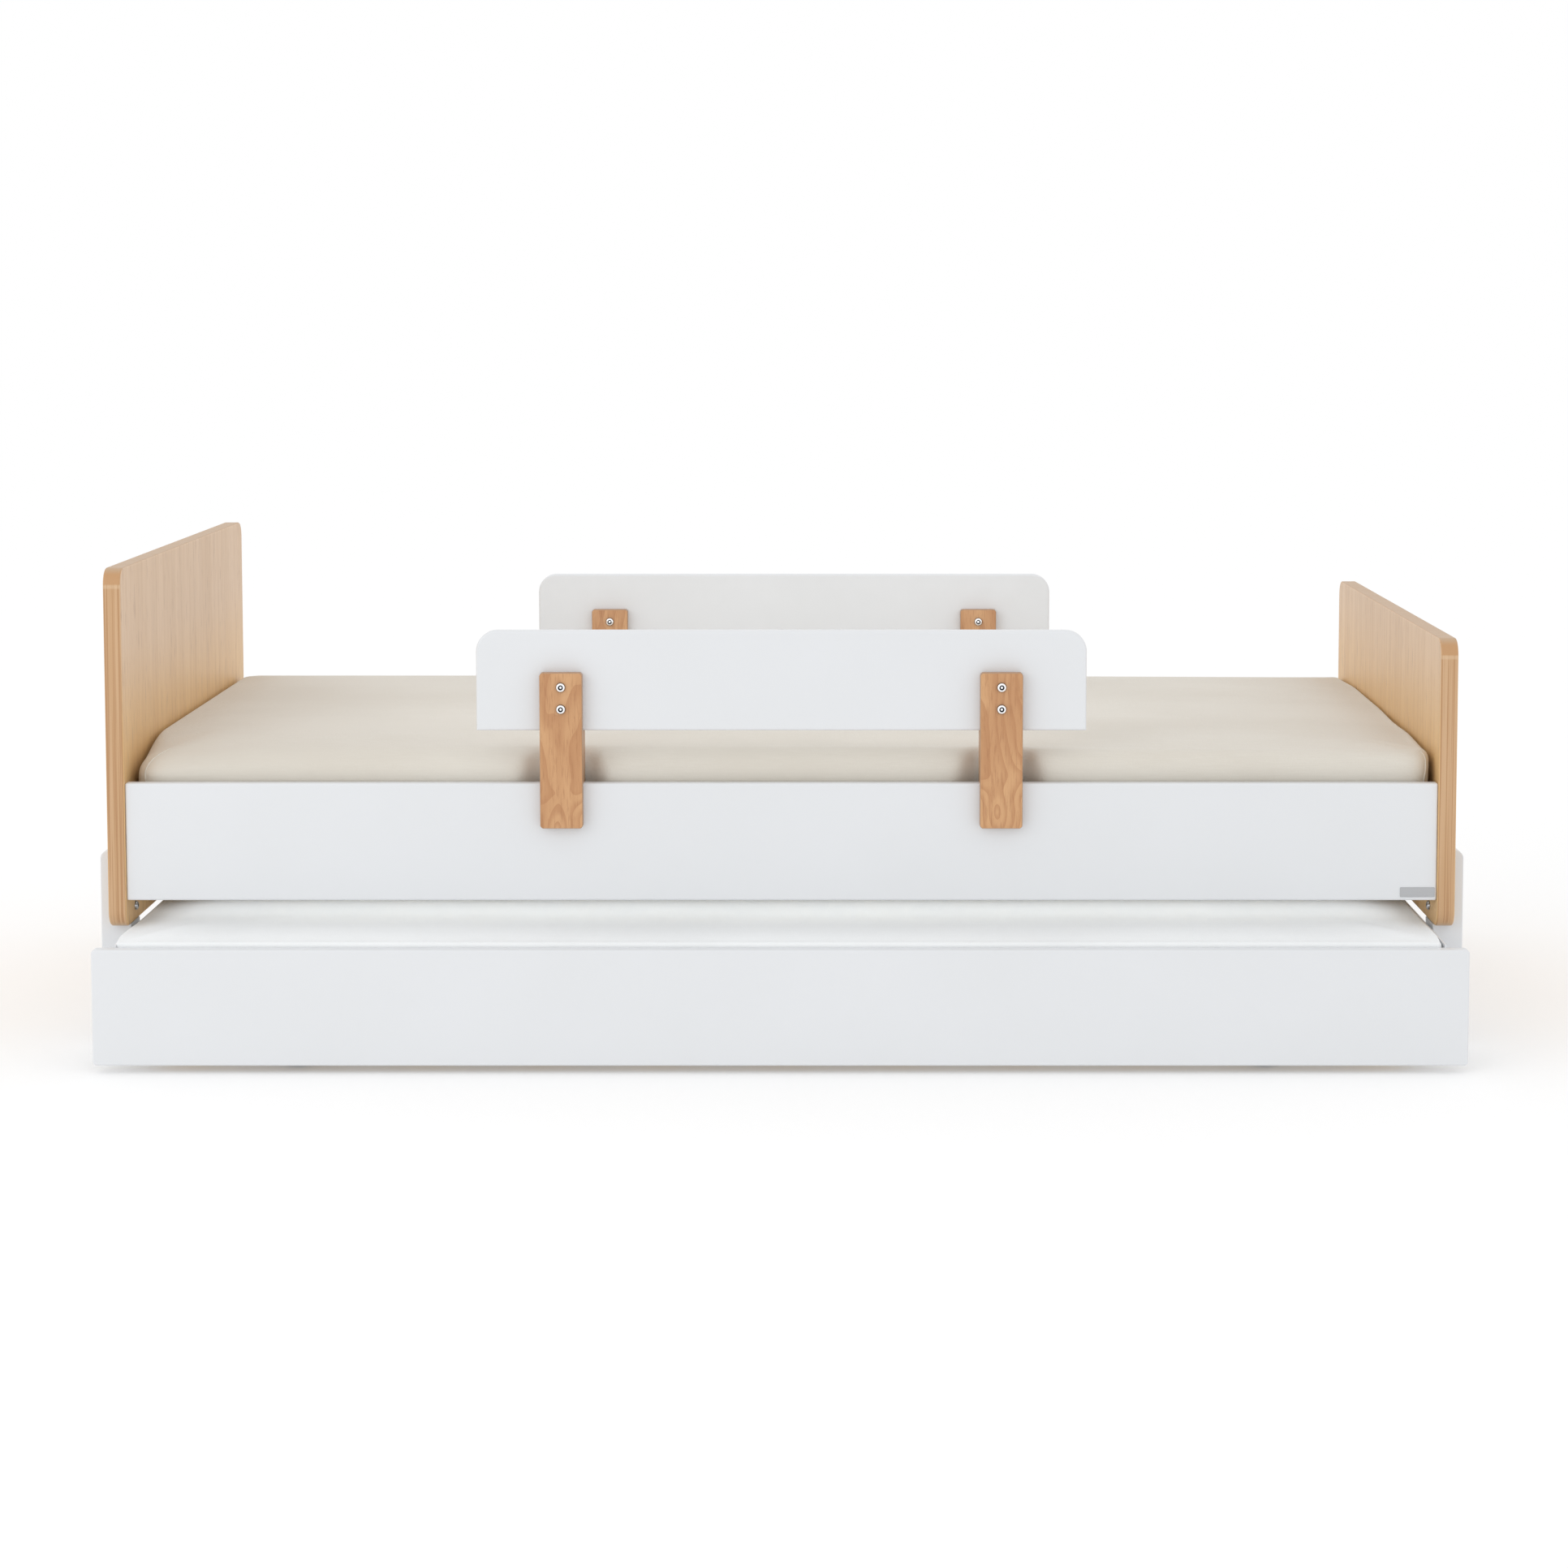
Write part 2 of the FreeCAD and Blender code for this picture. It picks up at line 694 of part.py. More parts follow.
def trundle_side(name, end):
    """A folded sheet side: an upright web with a flange under the mattress edge."""
    section = [
        ("0", "0"),
        ("side_flange", "0"),
        ("side_flange", "side_sheet"),
        ("side_sheet", "side_sheet"),
        ("side_sheet", "side_top - side_bottom"),
        ("0", "side_top - side_bottom"),
    ]
    side = extruded("XZ_Plane", section, "tray_deep")

    def fold(edge, around):
        box = edge.BoundBox
        at_fold = box.XMax < around.XMin + NEARLY and box.ZMax < around.ZMin + NEARLY
        return runs_along("y")(edge, around) and at_fold

    fillet(side, fold, "side_sheet / 2")
    facing_in = turn_about("z", 0 if end < 0 else 180)
    near = f"{TRAY_FRONT} + tray_deep" if end < 0 else TRAY_FRONT
    place(side, (f"{end} * tray_half", near, "side_bottom"), facing_in)
    node(name, side)


def trundle_slats():
    slat_blank = block(("slat_wide", "tray_slat_long", "tray_slat_thick"), ("0", "0", "0"))
    slat = fillet(slat_blank, runs_along("y"), "edge_round")
    slats = [
        copy_of(slat, (f"{across} - slat_wide / 2", f"{TRAY_MIDDLE} - tray_slat_long / 2", TRAY_SLAT_BOTTOM))
        for across in grid("tray_slat_first", TRAY_SLAT_COUNT)
    ]
    node("trundle_slats", group(slats))


def trundle_mattress():
    mattress = block(("tray_mattress_long", "tray_mattress_deep", "tray_mattress_thick"),
                     ("tray_mattress_shift", TRAY_MIDDLE, "tray_slat_top + tray_mattress_lift"))
    fillet(mattress, runs_along("z"), "mattress_corner")
    fillet(mattress, rims_across("z"), "tray_mattress_edge")
    node("trundle_mattress", mattress)


def trundle_corners():
    """Steel angles that tie the folded sides to the boards, and their screws."""
    angle = extruded("XY_Plane", [
        ("0", "0"),
        ("corner_leg", "0"),
        ("corner_leg", "corner_sheet"),
        ("corner_sheet", "corner_sheet"),
        ("corner_sheet", "corner_leg"),
        ("0", "corner_leg"),
    ], "corner_tall")
    screw = wood_screw("short_screw_long")
    corner_turn = {(-1, -1): 0, (1, -1): 90, (1, 1): 180, (-1, 1): 270}
    angles = []
    screws = []
    for end in ENDS.values():
        for side in SIDES.values():
            x = f"{end} * (tray_half - side_sheet)"
            y = f"{TRAY_MIDDLE} + {side} * tray_deep / 2"
            angles.append(copy_of(angle, (x, y, "corner_bottom"), turn_about("z", corner_turn[(end, side)])))
            for row in STEEL_SCREW_ROW:
                seat = (f"{x} - {end} * corner_screw_in",
                        f"{y} - {side} * (corner_sheet + screw_head_tall)",
                        f"corner_bottom + corner_tall / 2 + {row} * corner_screw_pitch")
                screws.append(copy_of(screw, seat, pointing("y", side)))
    node("trundle_corner_angles", group(angles))
    node("trundle_corner_screws", group(screws))


def trundle_screws():
    """Screws through the ledgers into the boards."""
    screw = wood_screw("screw_long")
    screws = []
    for side in SIDES.values():
        inner_face = f"{TRAY_MIDDLE} + {side} * (tray_deep / 2 - tray_ledger_wide - screw_head_tall)"
        height = f"{TRAY_SLAT_BOTTOM} - tray_ledger_tall / 2"
        for across in grid("tray_screw_first", TRAY_SCREW_COUNT):
            screws.append(copy_of(screw, (across, inner_face, height), pointing("y", side)))
    node("trundle_ledger_screws", group(screws))


# ---------------------------------------------------------------- rollers

def roller_places():
    """The name, the X and Y of the centre and the facing of each roller."""
    ledger_face = "(tray_deep / 2 - tray_ledger_wide)"
    return [
        (f"{side_name}_{end_name}", f"{end} * wheel_offset",
         f"{TRAY_MIDDLE} + {side} * ({ledger_face} - wheel_setback)", side)
        for side_name, side in SIDES.items()
        for end_name, end in ENDS.items()
    ]


def roller_forks():
    """A channel-shaped fork for each roller, screwed to a ledger, with an axle through its cheeks."""
    half = "(fork_inner / 2 + fork_sheet)"
    channel = extruded("XY_Plane", [
        ("0", "0"),
        (f"2 * {half}", "0"),
        (f"2 * {half}", "fork_reach"),
        (f"2 * {half} - fork_sheet", "fork_reach"),
        (f"2 * {half} - fork_sheet", "fork_sheet"),
        ("fork_sheet", "fork_sheet"),
        ("fork_sheet", "fork_reach"),
        ("0", "fork_reach"),
    ], "fork_tall")
    axle_hole = drill("axle_radius + axle_gap", f"2 * ({half} + cut_past)",
                      ("-cut_past", "wheel_setback", "wheel_radius - fork_bottom"), pointing("x"))
    fork = cut_away(channel, [axle_hole])
    axle = turned([
        ("0", "0"),
        ("axle_radius", "0"),
        ("axle_radius", "axle_long"),
        ("0", "axle_long"),
    ])
    screw = wood_screw("short_screw_long")
    forks = []
    axles = []
    screws = []
    for _, x, y, side in roller_places():
        web = f"{y} + {side} * wheel_setback"
        turn = turn_about("z", 0 if side < 0 else 180)
        forks.append(copy_of(fork, (f"{x} + {side} * {half}", web, "fork_bottom"), turn))
        axles.append(copy_of(axle, (f"{x} - axle_long / 2", y, "wheel_radius"), pointing("x")))
        for sense in ENDS.values():
            seat = (f"{x} + {sense} * fork_screw_offset",
                    f"{web} - {side} * (fork_sheet + screw_head_tall)",
                    "fork_bottom + fork_tall - fork_screw_drop")
            screws.append(copy_of(screw, seat, pointing("y", side)))
    node("trundle_wheel_forks", group(forks))
    node("trundle_axles", group(axles))
    node("trundle_fork_screws", group(screws))


def rollers():
    """Each roller is a nylon hub with a rubber tyre round it."""
    bore = "axle_radius + axle_gap"
    hub = turned([
        (bore, "0"),
        ("hub_radius", "0"),
        ("hub_radius", "hub_wide"),
        (bore, "hub_wide"),
    ])
    tyre = turned([
        ("hub_radius + fit_gap", "0"),
        ("wheel_radius", "0"),
        ("wheel_radius", "wheel_wide"),
        ("hub_radius + fit_gap", "wheel_wide"),
    ])

    def tread_rim(edge, around):
        return edge.BoundBox.YLength > around.YLength - NEARLY

    fillet(tyre, tread_rim, "edge_round / 2")
    for label, x, y, _ in roller_places():
        hub_copy = copy_of(hub, (f"{x} - hub_wide / 2", y, "wheel_radius"), pointing("x"))
        tyre_copy = copy_of(tyre, (f"{x} - wheel_wide / 2", y, "wheel_radius"), pointing("x"))
        node(f"roller_hub_{label}", group([hub_copy]))
        node(f"roller_tyre_{label}", group([tyre_copy]))


# ---------------------------------------------------------------- assembly

def build():
    write_sheet()
    end_panel("headboard_panel", ENDS["head"], "headboard_tall")
    end_panel("footboard_panel", ENDS["foot"], "footboard_tall")
    for side_name, side in SIDES.items():
        side_rail(f"{side_name}_side_rail", side)
        for end_name, end in ENDS.items():
            leg(f"leg_{side_name}_{end_name}", end, side)
    leg_hardware()
    rail_hardware()
    slatted_base()
    bed_mattress()
    name_plate()
    for side_name, side in SIDES.items():
        guard_rail(side_name, side)
    trundle_boards()
    for end_name, end in ENDS.items():
        trundle_side(f"trundle_{end_name}_side", end)
    trundle_slats()
    trundle_mattress()
    trundle_corners()
    trundle_screws()
    roller_forks()
    rollers()
    doc.recompute()


def check():
    """Stop if any object failed to compute or any sub-part has no sound shape."""
    for thing in doc.Objects:
        if "Invalid" in thing.State or "Error" in thing.State:
            raise RuntimeError(f"{thing.Label} did not compute: {thing.State}")
    for name, thing in nodes.items():
        if thing.Shape.isNull() or not thing.Shape.isValid() or not thing.Shape.Solids:
            raise RuntimeError(f"{name} has no sound shape")


def export():
    os.makedirs("parts", exist_ok=True)
    for name, thing in nodes.items():
        thing.Shape.exportStep(f"parts/{name}.step")
    print(len(nodes), "nodes written")


build()
check()
export()
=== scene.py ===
"""The looks of a child's twin bed with a roll-out trundle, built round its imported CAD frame."""
import json
import math

import bpy
import numpy as np
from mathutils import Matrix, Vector
from mathutils.bvhtree import BVHTree


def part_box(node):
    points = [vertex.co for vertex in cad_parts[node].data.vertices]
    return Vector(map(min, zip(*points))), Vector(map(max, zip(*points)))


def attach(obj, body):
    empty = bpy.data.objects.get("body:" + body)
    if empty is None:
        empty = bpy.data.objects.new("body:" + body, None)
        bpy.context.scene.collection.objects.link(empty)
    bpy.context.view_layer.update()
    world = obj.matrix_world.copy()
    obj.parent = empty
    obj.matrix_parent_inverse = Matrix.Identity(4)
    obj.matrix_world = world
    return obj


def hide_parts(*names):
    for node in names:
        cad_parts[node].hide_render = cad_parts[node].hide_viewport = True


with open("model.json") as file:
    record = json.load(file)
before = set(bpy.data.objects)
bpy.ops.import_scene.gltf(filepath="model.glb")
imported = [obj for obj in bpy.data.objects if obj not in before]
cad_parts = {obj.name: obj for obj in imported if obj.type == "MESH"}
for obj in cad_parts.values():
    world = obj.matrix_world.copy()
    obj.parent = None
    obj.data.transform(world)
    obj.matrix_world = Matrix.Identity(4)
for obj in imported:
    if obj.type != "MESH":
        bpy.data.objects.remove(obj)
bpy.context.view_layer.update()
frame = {"nodes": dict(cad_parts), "record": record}

NODES = frame["nodes"]
BED_BODY = "bed_frame"
TRUNDLE_BODY = "trundle"


def srgb(red, green, blue):
    """A colour given as it looks on a screen, 0 to 255, as the linear colour that a shader takes."""
    def linear(value):
        share = value / 255
        return share / 12.92 if share <= 0.04045 else ((share + 0.055) / 1.055) ** 2.4
    return (linear(red), linear(green), linear(blue), 1)


# ---------------------------------------------------------------- material building

class Finish:
    """A material on the Principled shader, with short calls for the nodes that feed it."""

    def __init__(self, name, colour, roughness, **inputs):
        self.material = bpy.data.materials.new(name)
        self.material.use_nodes = True
        self.tree = self.material.node_tree
        self.shader = self.tree.nodes["Principled BSDF"]
        self.shader.inputs["Base Color"].default_value = colour
        self.shader.inputs["Roughness"].default_value = roughness
        for socket, value in inputs.items():
            self.shader.inputs[socket.replace("_", " ")].default_value = value
        self.coordinates = self.tree.nodes.new("ShaderNodeTexCoord")

    def feed(self, socket, value):
        """Put a number, a colour or another node's output into a socket."""
        if isinstance(value, bpy.types.NodeSocket):
            self.tree.links.new(value, socket)
        else:
            socket.default_value = value

    def where(self, stretch=(1, 1, 1), shift=(0, 0, 0)):
        """The point on the object, in metres, stretched and then moved."""
        mapping = self.tree.nodes.new("ShaderNodeMapping")
        self.feed(mapping.inputs["Vector"], self.coordinates.outputs["Object"])
        mapping.inputs["Location"].default_value = shift
        mapping.inputs["Scale"].default_value = stretch
        return mapping.outputs["Vector"]

    def axis(self, vector, letter):
        split = self.tree.nodes.new("ShaderNodeSeparateXYZ")
        self.feed(split.inputs[0], vector)
        return split.outputs[letter]

    def facing(self, letter):
        """How squarely the surface faces along an axis of the object, from 0 to 1."""
        return self.math("ABSOLUTE", self.axis(self.coordinates.outputs["Normal"], letter))

    def noise(self, vector, scale=1.0, detail=2.0, roughness=0.5, distortion=0.0):
        texture = self.tree.nodes.new("ShaderNodeTexNoise")
        self.feed(texture.inputs["Vector"], vector)
        texture.inputs["Scale"].default_value = scale
        texture.inputs["Detail"].default_value = detail
        texture.inputs["Roughness"].default_value = roughness
        texture.inputs["Distortion"].default_value = distortion
        return texture.outputs["Fac"]

    def math(self, operation, first, second=0.0):
        step = self.tree.nodes.new("ShaderNodeMath")
        step.operation = operation
        self.feed(step.inputs[0], first)
        self.feed(step.inputs[1], second)
        return step.outputs[0]

    def span(self, value, low, high, to_low=0.0, to_high=1.0):
        """A value carried smoothly from one range to another, and held at its ends."""
        reach = self.tree.nodes.new("ShaderNodeMapRange")
        reach.interpolation_type = "SMOOTHSTEP"
        self.feed(reach.inputs["Value"], value)
        ends = {"From Min": low, "From Max": high, "To Min": to_low, "To Max": to_high}
        for socket, number in ends.items():
            reach.inputs[socket].default_value = number
        return reach.outputs["Result"]

    def mix(self, share, first, second):
        """The first colour where the share is 0, and the second where it is 1."""
        blender = self.tree.nodes.new("ShaderNodeMix")
        blender.data_type = "RGBA"
        self.feed(blender.inputs["Factor"], share)
        self.feed(blender.inputs["A"], first)
        self.feed(blender.inputs["B"], second)
        return blender.outputs["Result"]

    def colour(self, value):
        self.feed(self.shader.inputs["Base Color"], value)

    def roughness(self, value):
        self.feed(self.shader.inputs["Roughness"], value)

    def bump(self, height, distance):
        """Raise the surface by a height from 0 to 1 times a distance in metres."""
        previous = self.shader.inputs["Normal"].links
        relief = self.tree.nodes.new("ShaderNodeBump")
        relief.inputs["Distance"].default_value = distance
        self.feed(relief.inputs["Height"], height)
        if previous:
            self.feed(relief.inputs["Normal"], previous[0].from_socket)
        self.feed(self.shader.inputs["Normal"], relief.outputs["Normal"])


# ---------------------------------------------------------------- materials

def white_lacquer():
    """Sprayed satin lacquer on smooth board: a faint stipple over long, soft waves."""
    finish = Finish("white_lacquer", srgb(228, 229, 232), 0.36, Coat_Weight=0.12, Coat_Roughness=0.25)
    patches = finish.noise(finish.where(), scale=5, detail=3)
    finish.colour(finish.mix(patches, srgb(221, 223, 225), srgb(225, 227, 230)))
    stipple = finish.noise(finish.where(), scale=750, detail=2)
    finish.roughness(finish.span(finish.noise(finish.where(), scale=40, detail=4), 0.3, 0.7, 0.32, 0.44))
    finish.bump(stipple, 0.00002)
    finish.bump(finish.noise(finish.where(), scale=18, detail=1), 0.0003)
    return finish.material


def oak_panel(name, top, seed):
    """Pale oak veneer with upright grain, and solid oak lipping whose grain follows the edge."""
    block_tall, highlight_line_wide = 0.025, 0.003
    veneer_low, veneer_high = 0.43, 0.63
    finish = Finish(name, srgb(212, 186, 160), 0.46, Coat_Weight=0.06, Coat_Roughness=0.35)
    shift = (seed, 2.3 * seed, 1.1 * seed)

    # The veneer: very soft upright stripes, finer streaks and a few short dark flecks. It is
    # yellower low down, and paler and pinker towards the top.
    stripes = finish.noise(finish.where((6, 34, 1.1), shift), detail=3, roughness=0.5, distortion=0.3)
    streaks = finish.noise(finish.where((70, 170, 4), shift), detail=4, roughness=0.6)
    flecks = finish.noise(finish.where((110, 260, 20), shift), detail=2, roughness=0.6)
    height = finish.axis(finish.where(), "Z")
    pale = finish.span(height, veneer_low, veneer_high)
    light = finish.mix(pale, srgb(226, 186, 130), srgb(217, 187, 156))
    deep = finish.mix(pale, srgb(220, 178, 122), srgb(211, 180, 148))
    ground = finish.mix(finish.span(stripes, 0.36, 0.64), deep, light)
    veined = finish.mix(finish.span(streaks, 0.48, 0.7, 0, 0.32), ground, srgb(196, 162, 128))
    veneer = finish.mix(finish.span(flecks, 0.6, 0.7, 0, 0.62), veined, srgb(176, 140, 110))

    # The lipping: fine lines along the edge. A lighter line, a painted highlight where the rounded corner
    #  block meets the straight edge, lies under the darker corner block, and the top edge is duller.
    lines = finish.noise(finish.where((360, 1.5, 1.5), shift), detail=3, roughness=0.6, distortion=0.15)
    band = finish.noise(finish.where((90, 3, 3), shift), detail=2)
    lip_ground = finish.mix(finish.span(band, 0.35, 0.65), srgb(196, 157, 116), srgb(203, 166, 127))
    upright = finish.mix(finish.span(lines, 0.48, 0.6, 0, 0.85), lip_ground, srgb(174, 129, 86))
    block_bottom = top - block_tall
    in_block = finish.span(height, block_bottom, block_bottom + highlight_line_wide)
    corner = finish.mix(in_block, upright, srgb(191, 147, 103))
    # Painted highlight: a lighter line just under the corner block, where the rounded corner meets the
    # straight edge.
    painted_highlight_offset = finish.math("ABSOLUTE", finish.math("SUBTRACT", height, block_bottom - highlight_line_wide / 2))
    edge = finish.mix(finish.span(painted_highlight_offset, 0.0012, 0.0042, 0.4, 0), corner, srgb(219, 190, 155))
    lipping = finish.mix(finish.span(finish.facing("Z"), 0.6, 0.95), edge, srgb(190, 158, 124))

    face = finish.span(finish.facing("X"), 0.55, 0.85)
    finish.colour(finish.mix(face, lipping, veneer))
    finish.roughness(finish.span(streaks, 0.3, 0.7, 0.42, 0.52))
    finish.bump(flecks, 0.00005)
    finish.bump(streaks, 0.00005)
    return finish.material


def bracket_oak(name, arch, lean, seed):
    """Solid wood whose growth rings wander up the board and close into one arch low down."""
    rings_across, rings_out, oval_squash = 34, 130, 0.42
    flow_drift, oval_drift = 9, 7
    finish = Finish(name, srgb(206, 157, 112), 0.42, Coat_Weight=0.1, Coat_Roughness=0.3)
    place = finish.where(shift=tuple(-value for value in arch))
    across, up = finish.axis(place, "X"), finish.axis(place, "Z")
    drift = finish.noise(finish.where((11, 11, 4.5), (seed, seed, 2 * seed)), detail=2, roughness=0.4)

    # Above the arch the rings flow across the board; around it they are long ovals.
    sideways = finish.math("MULTIPLY", across, rings_across)
    leaning = finish.math("ADD", sideways, finish.math("MULTIPLY", up, lean))
    flow = finish.math("ADD", leaning, finish.math("MULTIPLY", drift, flow_drift))
    tall = finish.math("MULTIPLY", up, oval_squash)
    squares = finish.math("ADD", finish.math("MULTIPLY", across, across), finish.math("MULTIPLY", tall, tall))
    outward = finish.math("MULTIPLY", finish.math("SQRT", squares), rings_out)
    oval = finish.math("ADD", outward, finish.math("MULTIPLY", drift, oval_drift))
    share = finish.span(up, 0.01, 0.06)
    rest = finish.math("SUBTRACT", 1.0, share)
    rings = finish.math("ADD", finish.math("MULTIPLY", flow, share), finish.math("MULTIPLY", oval, rest))
    late_wood = finish.span(finish.math("FRACT", rings), 0.3, 1.0)

    fine = finish.noise(finish.where((430, 430, 40), (seed, seed, seed)), detail=4, roughness=0.6)
    cloud = finish.noise(finish.where((34, 34, 7), (seed, 0, seed)), detail=3)
    ground = finish.mix(finish.span(cloud, 0.3, 0.7), srgb(191, 141, 97), srgb(207, 160, 114))
    ringed = finish.mix(finish.math("MULTIPLY", late_wood, 0.62), ground, srgb(178, 125, 82))
    grained = finish.mix(finish.span(fine, 0.48, 0.7, 0, 0.5), ringed, srgb(164, 112, 72))
    finish.colour(finish.mix(finish.span(finish.facing("Y"), 0.8, 0.98), srgb(178, 138, 103), grained))
    finish.roughness(finish.span(fine, 0.3, 0.7, 0.36, 0.5))
    finish.bump(fine, 0.00005)
    return finish.material


def plain_wood():
    """Unfinished pine and poplar for the slats and ledgers."""
    finish = Finish("plain_wood", srgb(222, 198, 160), 0.62)
    streaks = finish.noise(finish.where((40, 3, 40)), detail=5, roughness=0.6)
    pores = finish.noise(finish.where((300, 12, 300)), detail=3)
    ground = finish.mix(finish.span(streaks, 0.35, 0.65), srgb(214, 186, 144), srgb(232, 210, 174))
    finish.colour(finish.mix(finish.span(pores, 0.55, 0.75, 0, 0.4), ground, srgb(188, 152, 108)))
    finish.bump(pores, 0.0001)
    return finish.material


def cotton(name, light, dark, sheen):
    """Plain-woven cotton: crossed threads, uneven yarn and slow changes of tone."""
    thread_pitch = 0.0011
    finish = Finish(name, light, 0.86, Sheen_Weight=sheen, Sheen_Roughness=0.5)
    place = finish.where((2 * math.pi / thread_pitch,) * 3)
    crossings = [finish.math("SINE", finish.axis(place, letter)) for letter in "XYZ"]
    weave = finish.math("ADD", finish.math("ADD", crossings[0], crossings[1]), crossings[2])
    yarn_along = finish.noise(finish.where((35, 900, 900)), detail=2)
    yarn_across = finish.noise(finish.where((900, 35, 900)), detail=2)
    yarn = finish.math("MULTIPLY", finish.math("ADD", yarn_along, yarn_across), 0.5)
    tone = finish.noise(finish.where((3, 4, 6)), detail=4)
    uneven = finish.math("ADD", finish.math("MULTIPLY", tone, 0.6), finish.math("MULTIPLY", yarn, 0.4))
    finish.colour(finish.mix(finish.span(uneven, 0.38, 0.62), dark, light))
    finish.bump(weave, 0.00003)
    finish.bump(yarn, 0.0002)
    return finish.material


def metal(name, colour, roughness, scratch):
    """Plated or polished metal with fine handling marks in its gloss."""
    finish = Finish(name, colour, roughness, Metallic=1.0)
    marks = finish.noise(finish.where((400, 400, 400)), detail=4, roughness=0.7)
    finish.roughness(finish.span(marks, 0.3, 0.7, roughness - scratch, roughness + scratch))
    finish.bump(marks, 0.00001)
    return finish.material


def bolt_head(name, middle, spread, pitch):
    """Plated bolt heads seen along Y, two by two, with light and shade painted on: a painted highlight rim
    inside a painted dark ring, painted shade in the socket and a painted glint in it.
    """
    painted_glint_edge, socket_edge, rim_edge, fade = 0.0013, 0.0034, 0.006, 0.0008
    finish = Finish(name, srgb(206, 208, 211), 0.24, Metallic=1.0)
    place = finish.where(shift=(-middle[0], 0, -middle[2]))
    offsets = []
    for letter, gap in (("X", spread), ("Z", pitch)):
        distance = finish.math("ABSOLUTE", finish.axis(place, letter))
        offset = finish.math("SUBTRACT", distance, gap / 2)
        offsets.append(finish.math("MULTIPLY", offset, offset))
    radius = finish.math("SQRT", finish.math("ADD", offsets[0], offsets[1]))
    # Painted light: a bright highlight rim with a painted dark ring outside it, painted shade in the socket,
    # and a painted glint at its middle.
    rim = finish.mix(finish.span(radius, rim_edge, rim_edge + fade), srgb(254, 254, 255), srgb(70, 70, 73))
    socket = finish.mix(finish.span(radius, socket_edge, socket_edge + fade), srgb(36, 37, 40), rim)
    finish.colour(finish.mix(finish.span(radius, painted_glint_edge, painted_glint_edge + fade), srgb(250, 250, 251), socket))
    marks = finish.noise(finish.where((900, 900, 900)), detail=3)
    finish.roughness(finish.span(marks, 0.3, 0.7, 0.2, 0.3))
    return finish.material


def brushed_plate():
    """Brushed metal with its lines running along the plate."""
    finish = Finish("plate_metal", srgb(184, 185, 187), 0.38, Metallic=1.0)
    lines = finish.noise(finish.where((25, 25, 5200)), detail=3)
    finish.roughness(finish.span(lines, 0.3, 0.7, 0.3, 0.5))
    finish.bump(lines, 0.00002)
    return finish.material


def painted_steel():
    """White powder coat: a fine even grain and hardly any change of tone."""
    finish = Finish("white_steel", srgb(228, 229, 231), 0.4)
    grain = finish.noise(finish.where(), scale=600, detail=2)
    patches = finish.noise(finish.where(), scale=8, detail=3)
    finish.colour(finish.mix(patches, srgb(225, 226, 228), srgb(231, 232, 234)))
    finish.bump(grain, 0.00004)
    return finish.material


def moulded(name, light, dark, roughness, grain):
    """Moulded plastic or rubber with a fine even grain."""
    finish = Finish(name, light, roughness)
    speckle = finish.noise(finish.where(), scale=900, detail=2)
    patches = finish.noise(finish.where(), scale=60, detail=3)
    finish.colour(finish.mix(patches, dark, light))
    finish.bump(speckle, grain)
    return finish.material


def webbing():
    """Flat woven strap with ribs across it."""
    rib_pitch = 0.003
    finish = Finish("webbing", srgb(226, 226, 222), 0.8)
    place = finish.where((2 * math.pi / rib_pitch,) * 3)
    ribs = finish.math("SINE", finish.axis(place, "X"))
    finish.colour(finish.mix(finish.span(ribs, -1, 1), srgb(208, 208, 203), srgb(232, 232, 228)))
    finish.bump(ribs, 0.0002)
    return finish.material


def paint(material, *names):
    """Give CAD nodes a material in place of the one they came with."""
    for name in names:
        slots = NODES[name].material_slots
        if not slots:
            NODES[name].data.materials.append(material)
        for slot in slots:
            slot.material = material


def nodes_of(slot):
    """The CAD nodes that the record gives a material slot."""
    return [part["node"] for part in frame["record"]["subparts"] if part["material_slot"] == slot]


def paint_oak():
    """Give each panel and bracket its own cut of oak."""
    for number, name in enumerate(nodes_of("oak_panel")):
        seed = 3 + 4 * number
        paint(oak_panel(f"oak_{name}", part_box(name)[1].z, seed), name)
    for number, name in enumerate(nodes_of("oak_bracket")):
        low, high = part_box(name)
        middle = (low + high) / 2
        arch = (middle.x - 0.006, middle.y, low.z + 0.012 * (number % 3))
        lean, seed = 9 - 6 * (number % 2), 1.7 * number
        paint(bracket_oak(f"oak_{name}", arch, lean, seed), name)


def paint_guard_bolts():
    """Heads with a painted highlight rim, painted socket shade and a painted glint on both faces of each
    guard, whose bolts stand two by two.
    """
    head_wide = 0.014
    for side in ("front", "rear"):
        names = [f"{side}_guard_bolts", f"{side}_guard_sleeve_nuts"]
        low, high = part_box(names[0])
        spread, pitch = high.x - low.x - head_wide, high.z - low.z - head_wide
        paint(bolt_head(f"{side}_bolt_heads", (low + high) / 2, spread, pitch), *names)


def paint_frame():
    """Finish every CAD node that stays in sight."""
    paint(white_lacquer(), *nodes_of("white_lacquer"))
    paint_oak()
    paint(plain_wood(), *nodes_of("plain_wood"))
    paint(metal("bolt_steel", srgb(190, 192, 196), 0.2, 0.05), "leg_bolts", "rail_bolts")
    paint_guard_bolts()
    paint(metal("zinc_steel", srgb(196, 198, 200), 0.36, 0.08), *nodes_of("zinc_steel"))
    paint(painted_steel(), *nodes_of("white_steel"))
    paint(brushed_plate(), *nodes_of("plate_metal"))
    paint(webbing(), *nodes_of("webbing"))
    for slot, light, dark, roughness, grain in (
        ("glide_plastic", srgb(205, 205, 203), srgb(196, 196, 194), 0.5, 0.00005),
        ("roller_nylon", srgb(150, 152, 155), srgb(138, 140, 143), 0.45, 0.00004),
        ("roller_rubber", srgb(62, 63, 66), srgb(50, 51, 54), 0.7, 0.00008),
    ):
        paint(moulded(slot, light, dark, roughness, grain), *nodes_of(slot))


# ---------------------------------------------------------------- mattresses

